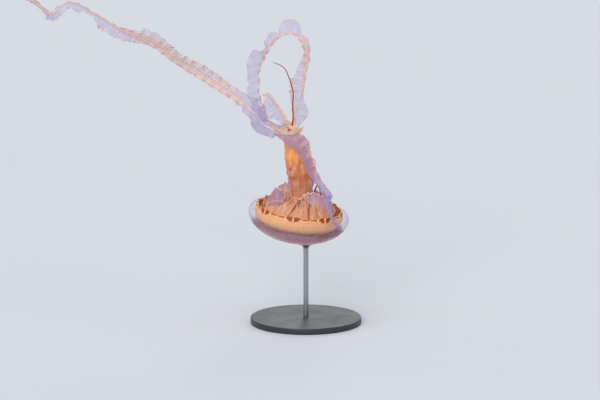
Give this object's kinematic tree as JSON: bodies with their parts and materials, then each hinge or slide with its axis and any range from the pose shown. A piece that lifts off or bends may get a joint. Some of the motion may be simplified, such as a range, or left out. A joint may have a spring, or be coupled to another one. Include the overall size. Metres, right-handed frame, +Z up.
{
  "type": "sea nettle jellyfish model",
  "caption": "Life-size still model of a sea nettle jellyfish, mouth side up with frilled arms trailing up and away from the bell, on a round base and a short rod",
  "frame": {"origin": "centre of the underside of the round base, on the surface the stand rests on", "axes": "+Z up, +X to the right of the bell as seen from the side its arms are spread towards, +Y away from that side; the long arm trails up towards -X"},
  "size_m": [0.6934, 0.22, 0.7061],
  "materials": {
    "stand_black": "satin black powder coat",
    "stand_steel": "fine brushed stainless steel",
    "clear_bell": "clear cast jelly, faint mauve, wet gloss",
    "cream_body": "milky cream to peach flesh under the clear bell",
    "mouth_folds": "peach and mauve pleated membrane, wet",
    "arm_flesh": "orange-brown translucent stem, wet",
    "arm_membrane": "thin mauve see-through membrane with cream ribs and frills",
    "tentacle_red": "dark red-brown, smooth and wet"
  },
  "bodies": {
    "root": {"stand_base": "stand_black", "stand_rod": "stand_steel", "bell": "clear_bell", "inner_body": "cream_body", "lobe_right": "mouth_folds", "lobe_back": "mouth_folds", "lobe_left": "mouth_folds", "lobe_front": "mouth_folds", "arm_column": "arm_flesh", "arm_crown": "arm_flesh", "arm_long_1": "arm_membrane", "arm_long_2": "arm_membrane", "arm_long_3": "arm_membrane", "arm_long_4": "arm_membrane", "arm_long_5": "arm_membrane", "arm_loop_1": "arm_membrane", "arm_loop_2": "arm_membrane", "arm_loop_3": "arm_membrane", "arm_loop_4": "arm_membrane", "arm_loop_5": "arm_membrane", "arm_fan": "arm_membrane", "arm_near_1": "arm_membrane", "arm_near_2": "arm_membrane", "tentacle_left": "tentacle_red", "tentacle_right": "tentacle_red", "tentacle_loop": "tentacle_red", "tentacle_rising": "tentacle_red"}
  },
  "joints": []
}
